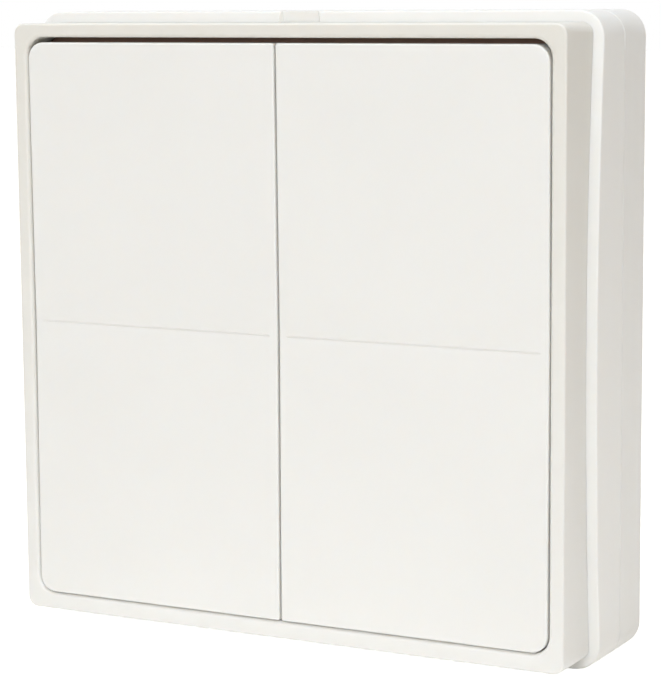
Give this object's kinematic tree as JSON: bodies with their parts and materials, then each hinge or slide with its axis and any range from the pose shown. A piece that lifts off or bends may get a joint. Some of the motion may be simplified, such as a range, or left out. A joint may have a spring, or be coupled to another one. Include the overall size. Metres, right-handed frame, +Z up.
{
  "type": "wireless wall switch",
  "caption": "Square surface-mounted wireless wall switch: a slim frame round side-by-side tall rockers, on a wider base with a bowed rim and a slotted wall plate.",
  "frame": {"origin": "centre of the wall plate's back face, which lies on the wall", "axes": "+X to the right as seen from the room, +Y into the wall, +Z up; the rockers face -Y"},
  "size_m": [0.086, 0.0235, 0.086],
  "materials": {
    "housing_white": "moulded ABS, fine satin",
    "wall_plate_white": "moulded ABS, fine satin",
    "rocker_white": "moulded ABS, fine satin",
    "carrier_dark": "moulded, dull",
    "plunger_natural": "moulded smooth acetal",
    "silicone_grey": "moulded silicone, dull",
    "board_green": "lacquered laminate",
    "shield_metal": "tinned sheet",
    "chip_black": "moulded epoxy, dull",
    "capacitor_ochre": "moulded epoxy, dull",
    "aerial_copper": "bare bent strip",
    "cell_steel": "pressed nickel-plated steel",
    "contact_nickel": "pressed nickel-plated strip",
    "screw_zinc": "zinc-plated"
  },
  "bodies": {
    "housing": {"front_frame": "housing_white", "base_housing": "housing_white", "wall_plate": "wall_plate_white", "rocker_carrier": "carrier_dark", "contact_mat_left": "silicone_grey", "contact_mat_right": "silicone_grey", "circuit_board": "board_green", "radio_module": "shield_metal", "controller_chip": "chip_black", "crystal": "shield_metal", "reservoir_capacitor": "capacitor_ochre", "antenna_strip": "aerial_copper", "coin_cell": "cell_steel", "battery_clip_positive": "contact_nickel", "battery_contact_negative": "contact_nickel", "carrier_screws": "screw_zinc"},
    "rocker_left": {"rocker_left": "rocker_white"},
    "plunger_left_upper": {"plunger_left_upper": "plunger_natural"},
    "plunger_left_lower": {"plunger_left_lower": "plunger_natural"},
    "rocker_right": {"rocker_right": "rocker_white"},
    "plunger_right_upper": {"plunger_right_upper": "plunger_natural"},
    "plunger_right_lower": {"plunger_right_lower": "plunger_natural"}
  },
  "joints": [
    {"name": "rocker_left_tilt", "type": "hinge", "parent": "housing", "child": "rocker_left", "pos_m": [-0.01966, -0.0198, 0], "axis": [1, 0, 0], "range_deg": [-2, 2], "stiffness_Nm_per_rad": 1},
    {"name": "plunger_left_upper_slide", "type": "slide", "parent": "housing", "child": "plunger_left_upper", "axis": [0, 1, 0], "range_m": [-0.00095, 0.00095], "deforming": ["contact_mat_left"]},
    {"name": "plunger_left_lower_slide", "type": "slide", "parent": "housing", "child": "plunger_left_lower", "axis": [0, 1, 0], "range_m": [-0.00095, 0.00095], "deforming": ["contact_mat_left"]},
    {"name": "rocker_right_tilt", "type": "hinge", "parent": "housing", "child": "rocker_right", "pos_m": [0.01966, -0.0198, 0], "axis": [1, 0, 0], "range_deg": [-2, 2], "stiffness_Nm_per_rad": 1},
    {"name": "plunger_right_upper_slide", "type": "slide", "parent": "housing", "child": "plunger_right_upper", "axis": [0, 1, 0], "range_m": [-0.00095, 0.00095], "deforming": ["contact_mat_right"]},
    {"name": "plunger_right_lower_slide", "type": "slide", "parent": "housing", "child": "plunger_right_lower", "axis": [0, 1, 0], "range_m": [-0.00095, 0.00095], "deforming": ["contact_mat_right"]}
  ],
  "couplings": [
    {"joint": "plunger_left_upper_slide", "follows": "rocker_left_tilt", "m_per_rad": -0.027},
    {"joint": "plunger_left_lower_slide", "follows": "rocker_left_tilt", "m_per_rad": 0.027},
    {"joint": "plunger_right_upper_slide", "follows": "rocker_right_tilt", "m_per_rad": -0.027},
    {"joint": "plunger_right_lower_slide", "follows": "rocker_right_tilt", "m_per_rad": 0.027}
  ]
}
